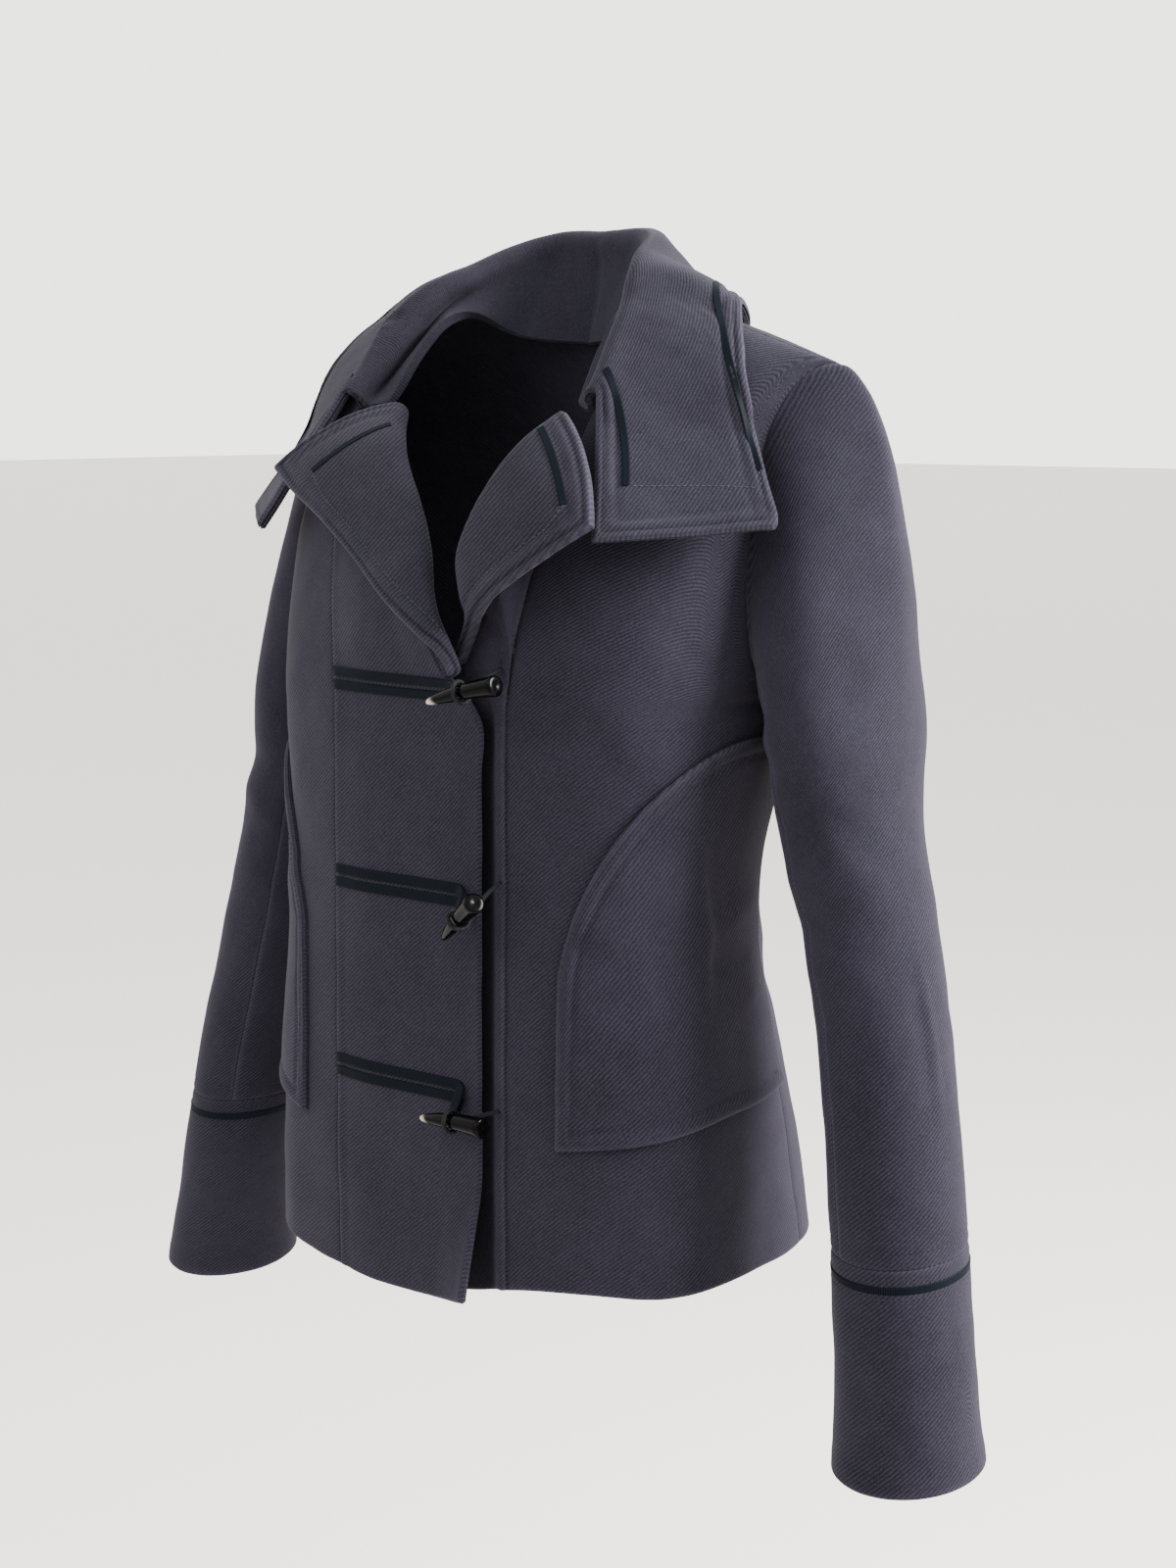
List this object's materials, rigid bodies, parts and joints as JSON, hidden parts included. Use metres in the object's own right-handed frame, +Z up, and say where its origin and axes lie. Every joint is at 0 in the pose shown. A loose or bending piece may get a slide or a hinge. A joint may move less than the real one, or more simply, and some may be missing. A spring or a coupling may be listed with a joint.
{
  "type": "short wool jacket",
  "caption": "Short fitted wool jacket, worn and hollow, with a wide collar and lapels, toggle and loop fastening, rounded pocket patches and long cuffed sleeves.",
  "frame": {"origin": "on the body's middle line, at the height where the shoulder seams meet the neckline, where the wearer's shoulders and neck hold the jacket up", "axes": "+Z up, the front faces -Y, the wearer's left is +X"},
  "size_m": [0.6326, 0.293, 0.695],
  "materials": {
    "wool": "charcoal wool twill, matte nap",
    "wool_facing": "the same wool, on the collar and lapels",
    "ribbon": "dark navy ribbed ribbon",
    "horn": "polished black horn",
    "cord": "dark waxed cord"
  },
  "bodies": {
    "root": {"back": "wool", "front_side_left": "wool", "front_side_right": "wool", "front_band_left": "wool", "front_band_right": "wool", "sleeve_top_left": "wool", "sleeve_top_right": "wool", "sleeve_under_left": "wool", "sleeve_under_right": "wool", "cuff_left": "wool", "cuff_right": "wool", "pocket_left": "wool", "pocket_right": "wool", "collar": "wool_facing", "lapel_left": "wool_facing", "lapel_right": "wool_facing", "loop_1": "ribbon", "loop_2": "ribbon", "loop_3": "ribbon", "collar_ribbon_edge": "ribbon", "collar_ribbon_end_left": "ribbon", "collar_ribbon_end_right": "ribbon", "lapel_ribbon_left": "ribbon", "lapel_ribbon_right": "ribbon", "cuff_ribbon_left": "ribbon", "cuff_ribbon_right": "ribbon", "toggle_1": "horn", "toggle_2": "horn", "toggle_3": "horn", "toggle_cord_1": "cord", "toggle_cord_2": "cord", "toggle_cord_3": "cord"}
  },
  "joints": []
}
